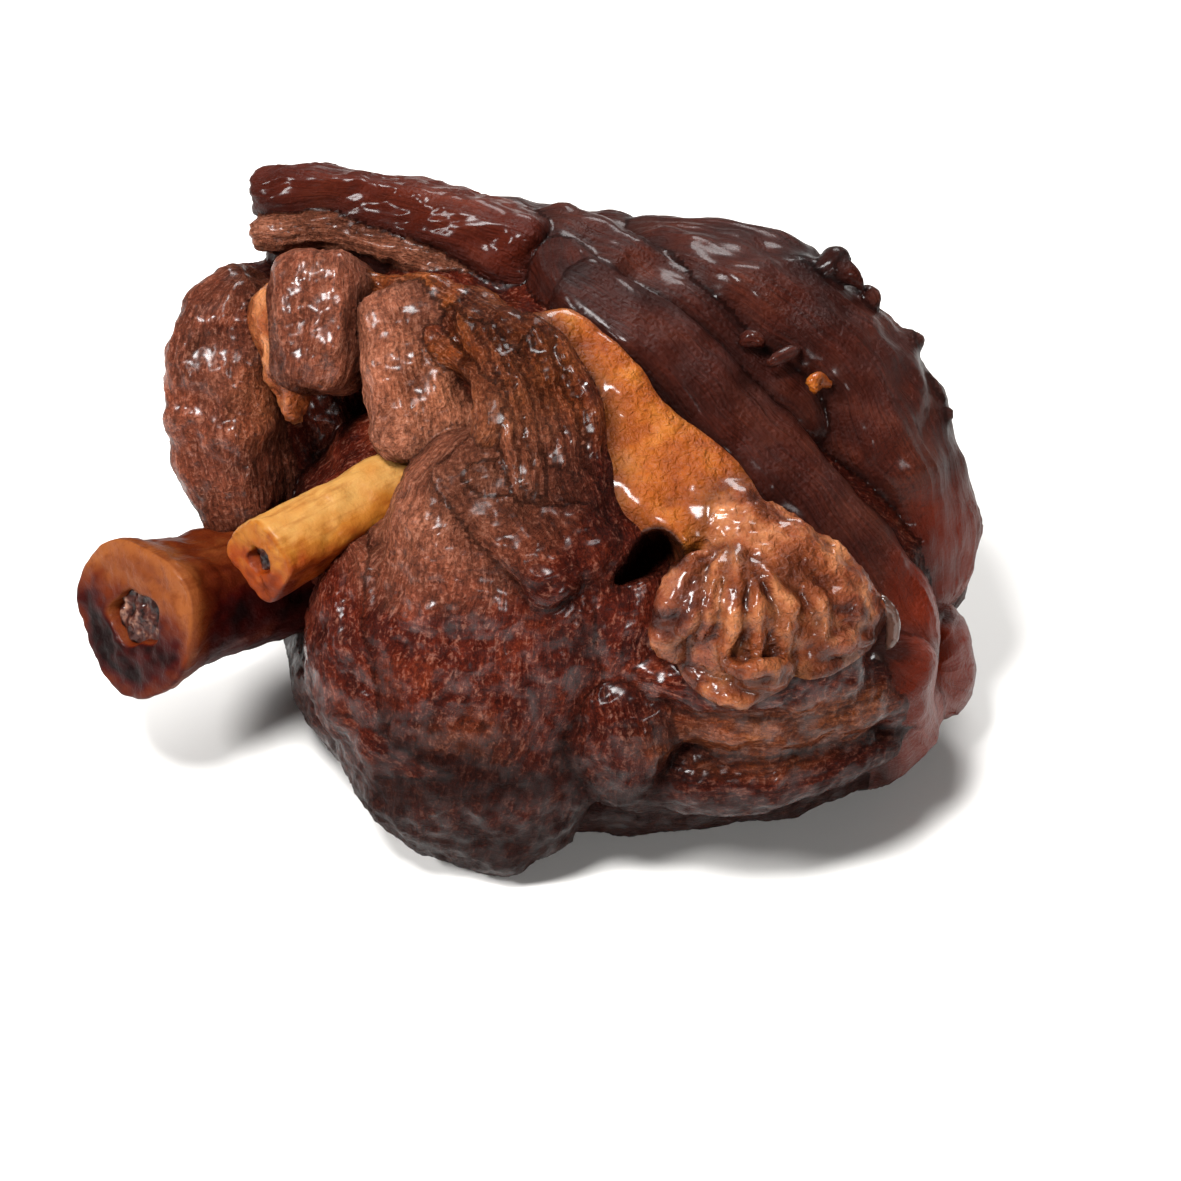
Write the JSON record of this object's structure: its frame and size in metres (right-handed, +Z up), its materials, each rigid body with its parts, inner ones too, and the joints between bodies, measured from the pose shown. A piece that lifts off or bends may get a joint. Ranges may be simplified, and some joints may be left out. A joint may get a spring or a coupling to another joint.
{
  "type": "braised pork knuckle",
  "caption": "Bone-in braised pork knuckle: thick folds of dark rind over fibrous meat, a golden strip of fat, and sawn leg bones standing out of the shank end.",
  "frame": {"origin": "middle of the bounding box, on the surface the flat underside rests on", "axes": "+X along the knuckle from the sawn bones to the thick end, -Y towards the opened meaty side, +Z up"},
  "size_m": [0.1984, 0.139, 0.1215],
  "materials": {
    "braised_meat": "glossy braised rind and fibrous meat",
    "bone": "satin, stained by the sauce",
    "marrow": "dull and pitted"
  },
  "bodies": {
    "root": {"meat": "braised_meat", "large_bone": "bone", "small_bone": "bone", "large_marrow": "marrow", "small_marrow": "marrow"}
  },
  "joints": []
}
